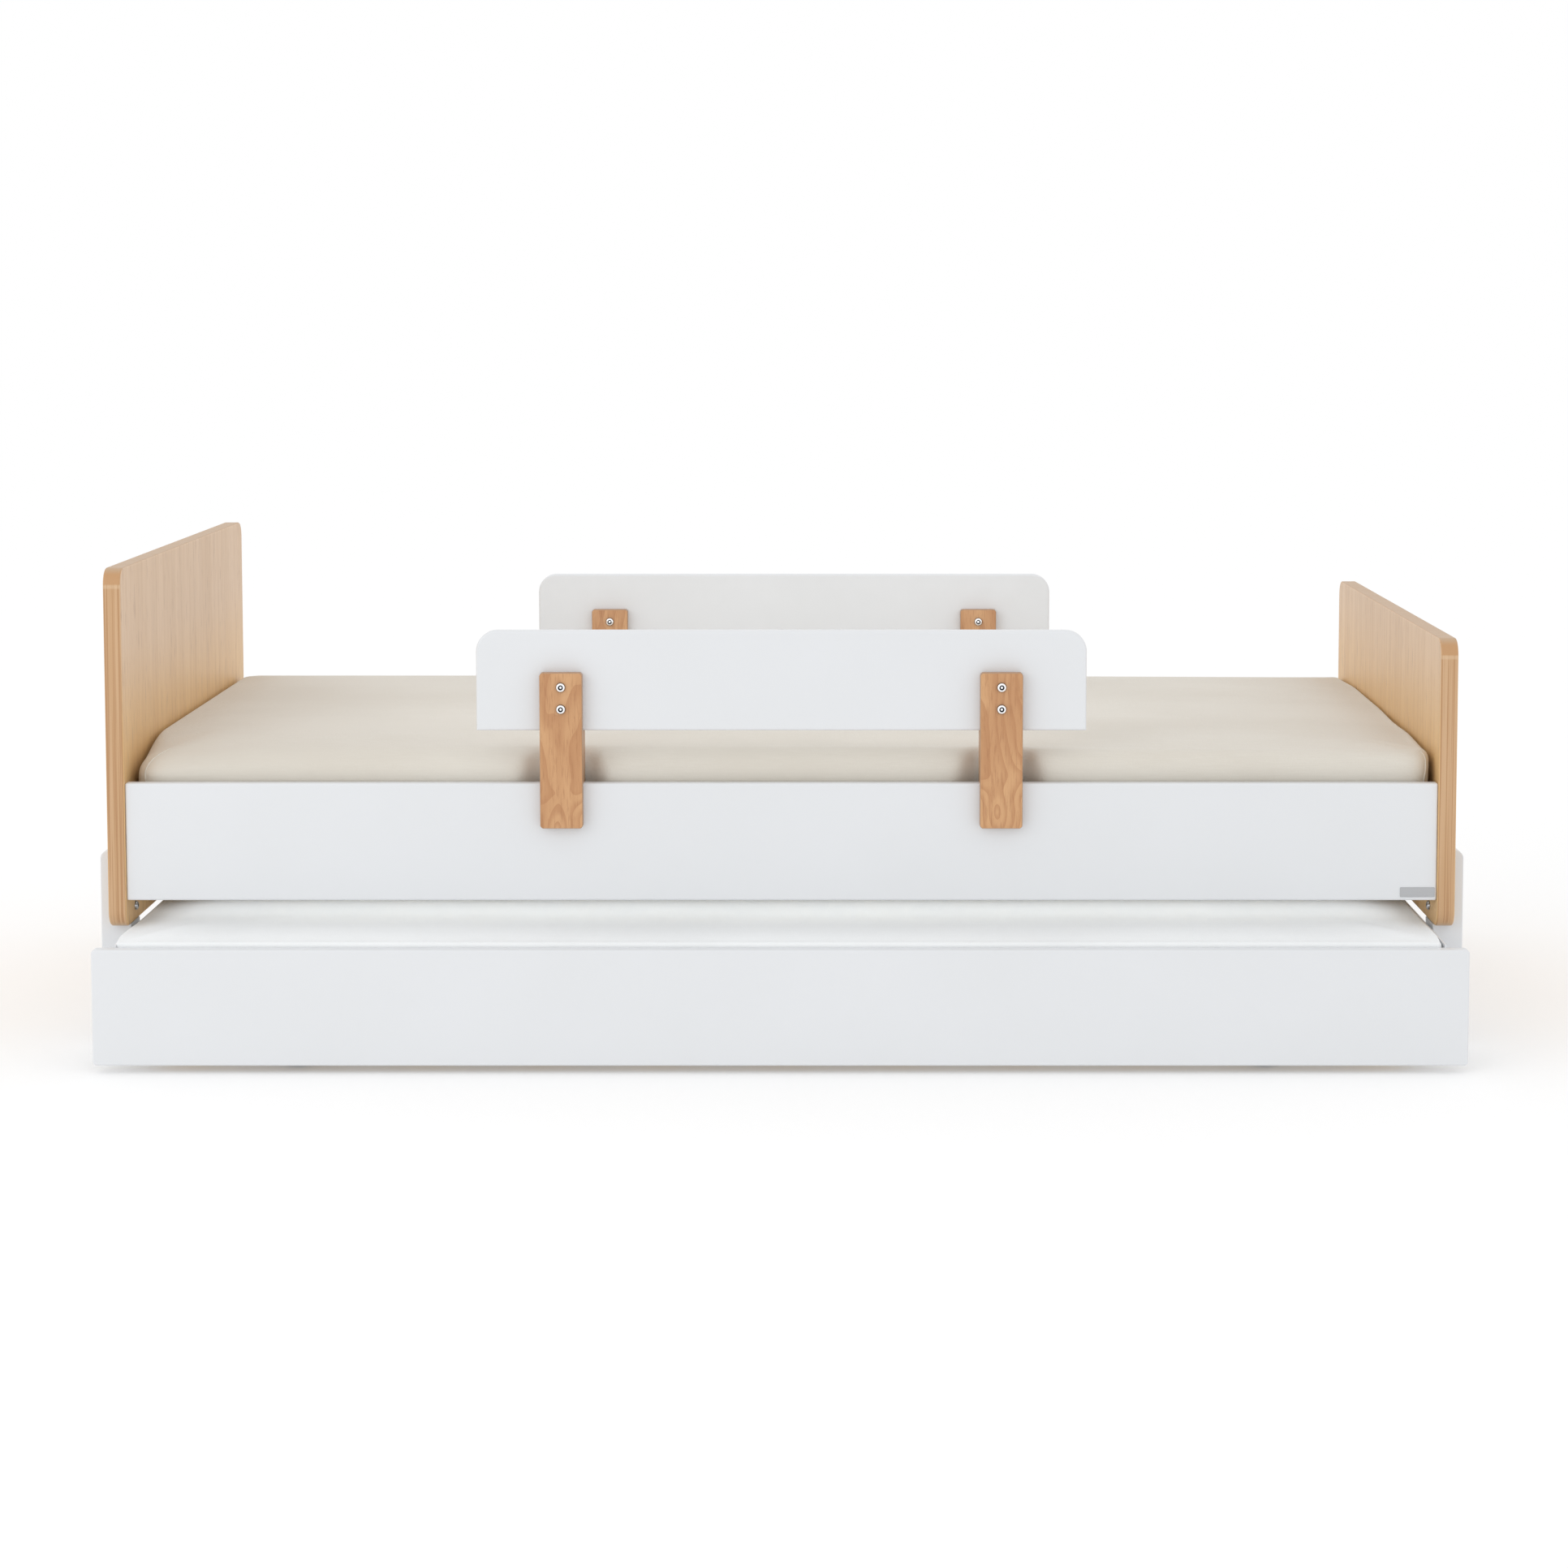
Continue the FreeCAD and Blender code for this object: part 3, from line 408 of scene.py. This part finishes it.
EDGE_STATIONS = [0.0, 0.003, 0.0065, 0.0105, 0.0155, 0.0225, 0.031]
CORE_STEP = 0.02
SHEET_STEP = 0.0125
CORNER_BLEND = 0.25           # how far from an end or the front one corner's radii turn into the next's
FRONT_STRIP = 0.04            # how far back the radii stay the front corners'
CORE_LOW_INSET = (0.006, 0.006, 0.002)
CORE_HIGH_INSET = 0.005
TURNED_UNDER = 0.07
CLOTH_FRAMES = 20
CLOTH_CAP = 0.006
CLOTH_DEEPEST = 0.002
SEAM_RADIUS = 0.0014
SEAM_POINTS = 22
SEAM_SIDES = 6
CROWNS = {"bed": 0.0, "trundle": 0.005}      # how far each sheet's top stands above its CAD solid


def stations(low, high, step):
    """Places from low to high, about a step apart, and closer together near both ends."""
    near = np.array(EDGE_STATIONS)
    count = round((high - low - 2 * near[-1]) / step)
    between = np.linspace(low + near[-1], high - near[-1], max(count, 1) + 1)
    return np.concatenate([low + near[:-1], between, (high - near[:-1])[::-1]])


def lattice(low, high, step):
    """Points and quads of a closed box with a fine grid on every side."""
    places = [stations(low[k], high[k], step) for k in range(3)]
    counts = [len(row) - 1 for row in places]
    numbers = {}
    points, quads = [], []

    def point(cell):
        if cell not in numbers:
            numbers[cell] = len(points)
            points.append([places[k][cell[k]] for k in range(3)])
        return numbers[cell]

    for k in range(3):
        a, b = (k + 1) % 3, (k + 2) % 3
        for at, outward in ((0, False), (counts[k], True)):
            for i in range(counts[a]):
                for j in range(counts[b]):
                    ring = []
                    for di, dj in ((0, 0), (1, 0), (1, 1), (0, 1)):
                        cell = [0, 0, 0]
                        cell[k], cell[a], cell[b] = at, i + di, j + dj
                        ring.append(point(tuple(cell)))
                    quads.append(ring if outward else ring[::-1])
    return np.array(points), quads


def rounded(points, low, high, corner, edge):
    """Draw a box's square corners in to round ones, first in plan and then along the rims."""
    nearly = 1e-9
    middle, half = (low + high) / 2, (high - low) / 2
    flat = points[:, :2] - middle[:2]
    inner = half[:2] - corner[:, None]
    kept = np.clip(flat, -inner, inner)
    offset = flat - kept
    square = np.abs(offset).max(axis=1)
    length = np.maximum(np.linalg.norm(offset, axis=1), nearly)
    offset *= (square / length)[:, None]
    flat = kept + offset
    length = np.linalg.norm(offset, axis=1)
    outward = offset / np.maximum(length, nearly)[:, None]
    height = points[:, 2] - middle[2]
    across = np.maximum(length - (corner - edge), 0)
    up = np.maximum(np.abs(height) - (half[2] - edge), 0)
    share = np.maximum(across, up) / np.maximum(np.hypot(across, up), nearly)
    both = (across > 0) & (up > 0)
    flat += outward * np.where(both, across * share - across, 0)[:, None]
    height += np.sign(height) * np.where(both, up * share - up, 0)
    return np.column_stack([flat + middle[:2], height + middle[2]])


def mesh_object(name, points, quads):
    """A smooth-shaded object in the scene."""
    mesh = bpy.data.meshes.new(name)
    mesh.from_pydata([tuple(p) for p in points], [], [list(q) for q in quads])
    mesh.validate()
    mesh.polygons.foreach_set("use_smooth", [True] * len(mesh.polygons))
    thing = bpy.data.objects.new(name, mesh)
    bpy.context.scene.collection.objects.link(thing)
    return thing


def vectors(rows, attribute):
    """One attribute of a mesh's vertices or their normals, as rows of three numbers."""
    flat = np.zeros(len(rows) * 3)
    rows.foreach_get(attribute, flat)
    return flat.reshape(-1, 3)


def subdivide(thing):
    """Apply one level of subdivision."""
    modifier = thing.modifiers.new("finer", "SUBSURF")
    modifier.levels = modifier.render_levels = 1
    evaluated = thing.evaluated_get(bpy.context.evaluated_depsgraph_get())
    mesh = bpy.data.meshes.new_from_object(evaluated)
    thing.modifiers.clear()
    thing.data = mesh


def smooth(value, low, high):
    """A step from 0 to 1 that starts and ends gently."""
    share = np.clip((value - low) / (high - low), 0, 1)
    return share * share * (3 - 2 * share)


def closed_pad(low, high, step, shape):
    """A pad whose corner and rim radii change from corner to corner, sunk or swollen in places."""
    points, quads = lattice(low, high, step)
    along = smooth(points[:, 0], low[0] + CORNER_BLEND, high[0] - CORNER_BLEND)
    back = smooth(points[:, 1], low[1] + FRONT_STRIP, low[1] + CORNER_BLEND)
    radii = {}
    for kind in ("corner", "rim"):
        sizes = shape[kind]
        front = (1 - along) * sizes["front_head"] + along * sizes["front_foot"]
        rear = (1 - along) * sizes["rear_head"] + along * sizes["rear_foot"]
        radii[kind] = (1 - back) * front + back * rear
    points = rounded(points, low, high, radii["corner"], radii["rim"])
    shape["finish"](points, low, high)
    return points, quads


def finish_bed_pad(points, low, high):
    """The bed mattress: a slumped front corner at the head, a lower foot, and swollen front and ends."""
    corner_slump, foot_slump, over_rail = 0.009, 0.004, 0.005
    rail_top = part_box("front_side_rail")[1].z

    # The top sinks at the front corner of the head, and all along the foot but for its middle.
    upper = smooth(points[:, 2], high[2] - 0.1, high[2])
    corner = 1 - smooth(np.hypot(points[:, 0] - low[0], points[:, 1] - low[1]), 0.02, 0.2)
    points[:, 2] -= corner_slump * corner * upper
    rear = smooth(points[:, 1], low[1] + 0.3, high[1] - 0.3)
    level = rear * (1 - smooth(points[:, 1], high[1] - 0.2, high[1]))
    points[:, 2] -= foot_slump * smooth(points[:, 0], 0.0, high[0]) * upper * (1 - level)

    # The front bulges out over the rail.
    over = smooth(points[:, 2], rail_top + 0.001, rail_top + 0.012)
    over *= 1 - 0.6 * smooth(points[:, 2], rail_top + 0.02, high[2] + 0.01)
    front = 1 - smooth(points[:, 1], low[1], low[1] + 0.06)
    points[:, 1] -= over_rail * over * front

    # Both ends swell, the foot in soft waves and the head more towards the back.
    head_side = 1 - smooth(points[:, 0], low[0], low[0] + 0.08)
    foot_side = smooth(points[:, 0], high[0] - 0.08, high[0])
    waves = 0.5 + 0.5 * np.sin(21 * points[:, 1] + 0.6)
    swell = smooth(points[:, 2], high[2] - 0.12, high[2] - 0.03)
    away = smooth(points[:, 1], low[1], low[1] + 0.16)
    foot_swell = 0.0015 + 0.0015 * waves + 0.003 * rear
    head_swell = 0.006 + 0.002 * away
    points[:, 0] += swell * (foot_swell * foot_side - head_swell * head_side)


def finish_trundle_pad(points, low, high):
    """The trundle mattress: it swells at its ends, fills the gap at the front board and slopes down to it."""
    foot_swell, front_fill, front_slope = 0.005, 0.0014, 0.005
    side_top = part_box("trundle_head_side")[1].z
    head_side = 1 - smooth(points[:, 0], low[0], low[0] + 0.05)
    foot_side = smooth(points[:, 0], high[0] - 0.05, high[0])

    # At the head it swells only above the folded side, and most near the front.
    overhang = 0.0055 - 0.0035 * smooth(points[:, 1], low[1] + 0.02, low[1] + 0.16)
    points[:, 0] -= overhang * smooth(points[:, 2], side_top + 0.0003, side_top + 0.002) * head_side
    points[:, 0] += foot_swell * foot_side

    points[:, 1] -= front_fill * (1 - smooth(points[:, 1], low[1], low[1] + 0.02))
    near_front = 1 - smooth(points[:, 1], low[1], low[1] + 0.04)
    points[:, 2] -= front_slope * near_front * smooth(points[:, 2], low[2], high[2])


# Radii at a pad's four corners: corner in plan, and rim along its top and bottom edges.
BED_SHAPE = {
    "corner": {"front_head": 0.05, "front_foot": 0.036, "rear_head": 0.036, "rear_foot": 0.018},
    "rim": {"front_head": 0.045, "front_foot": 0.017, "rear_head": 0.014, "rear_foot": 0.007},
    "finish": finish_bed_pad,
}
TRUNDLE_SHAPE = {
    "corner": {"front_head": 0.0052, "front_foot": 0.0052, "rear_head": 0.03, "rear_foot": 0.03},
    "rim": {"front_head": 0.005, "front_foot": 0.005, "rear_head": 0.007, "rear_foot": 0.007},
    "finish": finish_trundle_pad,
}


def without_middle(points, quads, low, high):
    """Drop the quads under a pad that lie further in than its sheet is turned under."""
    flat_within = 0.001
    kept = []
    for quad in quads:
        ring = points[quad]
        past_low = (ring[:, :2] > low[:2] + TURNED_UNDER).all()
        before_high = (ring[:, :2] < high[:2] - TURNED_UNDER).all()
        beneath = (ring[:, 2] < low[2] + flat_within).all()
        if not (past_low and before_high and beneath):
            kept.append(quad)
    used = np.unique(np.array(kept))
    number = np.full(len(points), -1)
    number[used] = np.arange(len(used))
    return points[used], [[int(number[k]) for k in quad] for quad in kept]


def press_brackets(points, brackets, low, high):
    """Push both long sides in where the guard rails' inner brackets bear on the bed mattress."""
    reach, play = 0.14, 0.004
    front, rear = low[1], high[1]
    blend = 0.034 - 0.014 * smooth(points[:, 2], high[2] - 0.04, high[2] - 0.008)
    for node in brackets:
        near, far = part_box(node)
        middle, half = (near.x + far.x) / 2, (far.x - near.x) / 2 + play
        beside = 1 - smooth(np.abs(points[:, 0] - middle) - half, 0, blend)
        if (near.y + far.y) / 2 < (front + rear) / 2:
            share = np.clip(1 - (points[:, 1] - front) / reach, 0, 1) ** 2
            points[:, 1] += (far.y - front + play) * beside * share
        else:
            share = np.clip(1 - (rear - points[:, 1]) / reach, 0, 1) ** 2
            points[:, 1] -= (rear - near.y + play) * beside * share


def loosen(points, low, high):
    """How slack the sheet is: most at its corners and low on its sides, least on its top."""
    to_x = np.minimum(points[:, 0] - low[0], high[0] - points[:, 0])
    to_y = np.minimum(points[:, 1] - low[1], high[1] - points[:, 1])
    corner = 1 - smooth(np.hypot(to_x, to_y), 0.05, 0.3)
    side = 1 - smooth(np.minimum(to_x, to_y), 0.02, 0.12)
    patches = 0.5 + 0.5 * np.sin(7.3 * points[:, 0] + 1.3) * np.sin(5.1 * points[:, 0] - 0.7)
    return np.clip(0.9 * corner * side + 0.55 * side * patches + 0.12, 0, 1)


def hold_softly(sheet, points, slack):
    """Weigh every point: those low down are held fast, and the rest give way to the cloth."""
    low_strip, firm, soft = 0.03, 1.0, 0.06
    held = sheet.vertex_groups.new(name="held")
    loose = sheet.vertex_groups.new(name="loose")
    bottom = points[:, 2].min()
    for number, height in enumerate(points[:, 2]):
        held.add([number], firm if height < bottom + low_strip else soft, "REPLACE")
        loose.add([number], float(slack[number]), "REPLACE")


def add_cloth(sheet):
    """A light cotton that is a little larger than its pad where it is loose."""
    cloth = sheet.modifiers.new("cloth", "CLOTH")
    cloth.point_cache.frame_start, cloth.point_cache.frame_end = 1, CLOTH_FRAMES
    cloth.collision_settings.use_collision = False
    settings = cloth.settings
    settings.quality = 5
    settings.mass = 0.2
    settings.tension_stiffness = settings.compression_stiffness = 18
    settings.shear_stiffness = 6
    settings.bending_stiffness = 0.12
    settings.use_pressure = True
    settings.uniform_pressure_force = 4
    settings.vertex_group_mass = "held"
    settings.pin_stiffness = 1.5
    settings.vertex_group_shrink = "loose"
    settings.shrink_min = 0.0
    settings.shrink_max = -0.055
    settings.effector_weights.gravity = 0


def settled(sheet, start):
    """Where Cloth has taken a sheet's points, near their start and outside the pad's core."""
    evaluated = sheet.evaluated_get(bpy.context.evaluated_depsgraph_get())
    move = vectors(evaluated.data.vertices, "co") - start
    length = np.maximum(np.linalg.norm(move, axis=1), 1e-9)
    move *= np.minimum(1, CLOTH_CAP / length)[:, None]
    outward = vectors(sheet.data.vertex_normals, "vector")
    sunk = np.maximum(-(move * outward).sum(axis=1) - CLOTH_DEEPEST, 0)
    return start + move + outward * sunk[:, None]


def settle(sheets):
    """Run Cloth on sheets that are softly held, and keep its result."""
    starts = [vectors(sheet.data.vertices, "co") for sheet, _ in sheets]
    for (sheet, slack), start in zip(sheets, starts):
        hold_softly(sheet, start, slack)
        add_cloth(sheet)
    scene = bpy.context.scene
    for number in range(CLOTH_FRAMES):
        scene.frame_set(number + 1)
    ends = [settled(sheet, start) for (sheet, _), start in zip(sheets, starts)]
    for (sheet, _), end in zip(sheets, ends):
        sheet.modifiers.clear()
        sheet.vertex_groups.clear()
        sheet.data.vertices.foreach_set("co", end.ravel())
        sheet.data.update()
    scene.frame_set(1)


def corner_seams(name, sheet, low, high, material):
    """The sewn seams down the four corners of a fitted sheet, as thin cords laid on the cloth."""
    above_floor, below_top, start_out = 0.012, 0.008, 0.05
    tree = BVHTree.FromObject(sheet, bpy.context.evaluated_depsgraph_get())
    points, quads = [], []
    for end in (-1, 1):
        for side in (-1, 1):
            outward = Vector((end, side, 0)).normalized()
            corner = Vector((high.x if end > 0 else low.x, high.y if side > 0 else low.y, 0))
            path = []
            for share in np.linspace(0, 1, SEAM_POINTS):
                height = low.z + above_floor + (high.z - low.z - above_floor - below_top) * share
                start = Vector((corner.x, corner.y, height)) + outward * start_out
                hit, normal, _, _ = tree.ray_cast(start, -outward)
                if hit is not None:
                    path.append((hit, normal))
            first = len(points)
            for hit, normal in path:
                across = normal.cross(Vector((0, 0, 1))).normalized()
                for turn in range(SEAM_SIDES):
                    angle = 2 * math.pi * turn / SEAM_SIDES
                    reach = normal * math.sin(angle) + across * math.cos(angle)
                    points.append(hit + SEAM_RADIUS * reach)
            for row in range(len(path) - 1):
                start = first + SEAM_SIDES * row
                for turn in range(SEAM_SIDES):
                    a, b = start + turn, start + (turn + 1) % SEAM_SIDES
                    quads.append((a, b, b + SEAM_SIDES, a + SEAM_SIDES))
    seams = mesh_object(name, points, quads)
    seams.data.materials.append(material)
    return seams


def dressed_mattress(label, ticking, cloth, shape, brackets):
    """A foam core in a fitted sheet: the two pieces, and how slack the sheet is."""
    low, high = (np.array(corner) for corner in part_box(f"{label}_mattress"))
    high[2] += CROWNS[label]
    points, quads = closed_pad(low + np.array(CORE_LOW_INSET), high - CORE_HIGH_INSET, CORE_STEP, shape)
    press_brackets(points, brackets, low, high)
    core = mesh_object(f"{label}_mattress_core", points, quads)
    core.data.materials.append(ticking)

    points, quads = closed_pad(low, high, SHEET_STEP, shape)
    press_brackets(points, brackets, low, high)
    points, quads = without_middle(points, quads, low, high)
    slack = loosen(points, low, high)
    sheet = mesh_object(f"{label}_fitted_sheet", points, quads)
    sheet.data.materials.append(cloth)
    return core, sheet, slack


# ---------------------------------------------------------------- studio

def studio():
    """A white floor, soft light from all round, a broad light at the front and three faint fill lights."""
    scene = bpy.context.scene
    scene.view_settings.view_transform = "Standard"
    world = bpy.data.worlds.new("studio")
    world.use_nodes = True
    world.node_tree.nodes["Background"].inputs["Color"].default_value = (1, 1, 1, 1)
    world.node_tree.nodes["Background"].inputs["Strength"].default_value = 1.0
    scene.world = world

    reach = 40
    corners = [(-reach, -reach, 0), (reach, -reach, 0), (reach, reach, 0), (-reach, reach, 0)]
    floor = mesh_object("floor", corners, [(0, 1, 2, 3)])
    finish = Finish("studio_floor", (0.8, 0.8, 0.8, 1), 0.9, Specular_IOR_Level=0.0)
    finish.shader.inputs["Emission Color"].default_value = (1, 1, 1, 1)
    finish.shader.inputs["Emission Strength"].default_value = 0.2
    floor.data.materials.append(finish.material)

    # The broad light stands to the left. The faint ones reach the trundle's sheet under the slats, the
    # rear guard's inner face, and the top of the bed's sheet behind the front guard.
    area_light("side_light", (-3.6, -4.8, 2.5), (0.1, 0, 0.5), (4.0, 3.0), 37)
    low_light = area_light("low_light", (0.0, -0.36, 0.262), (0.0, -0.36, 0.0), (1.86, 0.15), 0.66)
    low_light.color = (0.88, 0.94, 1.0)
    low_light.spread = math.radians(120)
    rear_light = area_light("rear_light", (0.0, -0.4, 0.56), (0.0, 0.5, 0.58), (1.2, 0.06), 0.19)
    rear_light.color = (0.94, 0.97, 1.0)
    rear_light.spread = math.radians(60)
    guard_light = area_light("guard_light", (0.0, -0.405, 0.6), (0.0, -0.3, 0.453), (0.84, 0.03), 0.11)
    guard_light.spread = math.radians(130)


def area_light(name, place, aim, size, watts):
    """A rectangular light that the camera doesn't see."""
    data = bpy.data.lights.new(name, "AREA")
    data.shape = "RECTANGLE"
    data.size, data.size_y = size
    data.energy = watts
    lamp = bpy.data.objects.new(name, data)
    lamp.location = place
    lamp.rotation_euler = (Vector(aim) - Vector(place)).to_track_quat("-Z", "Y").to_euler()
    lamp.visible_camera = False
    bpy.context.scene.collection.objects.link(lamp)
    return data


def camera():
    """A long lens in front of the bed, a little above it, level across and tipped down 5 degrees."""
    tipped = math.radians(5.01)
    data = bpy.data.cameras.new("camera")
    data.lens = 80.34
    data.sensor_width = 36
    data.shift_x = -0.0345
    data.shift_y = -0.12
    eye = bpy.data.objects.new("camera", data)
    eye.location = (0.0827, -5.5325, 1.1226)
    eye.rotation_euler = (math.pi / 2 - tipped, 0, 0)
    bpy.context.scene.collection.objects.link(eye)
    bpy.context.scene.camera = eye


def mattresses():
    """Both mattresses in their fitted sheets, settled together."""
    ticking = cotton("mattress_ticking", srgb(226, 224, 218), srgb(216, 214, 208), 0.1)
    beige = cotton("beige_sheet", srgb(219, 214, 204), srgb(213, 207, 196), 0.2)
    white = cotton("white_sheet", srgb(243, 245, 246), srgb(238, 240, 241), 0.15)
    brackets = [name for name in NODES if "_guard_inner_bracket_" in name]
    bed = dressed_mattress("bed", ticking, beige, BED_SHAPE, brackets)
    tray = dressed_mattress("trundle", ticking, white, TRUNDLE_SHAPE, [])
    settle([(sheet, slack) for _, sheet, slack in (bed, tray)])

    for label, body, (core, sheet, _), finish, slot in (
        ("bed", BED_BODY, bed, beige, "beige_sheet"),
        ("trundle", TRUNDLE_BODY, tray, white, "white_sheet"),
    ):
        low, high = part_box(f"{label}_mattress")
        subdivide(core)
        subdivide(sheet)
        seams = corner_seams(f"{label}_sheet_seams", sheet, low, high, finish)
        for piece in (core, sheet, seams):
            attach(piece, body)
        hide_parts(f"{label}_mattress")


camera()
studio()
paint_frame()
mattresses()
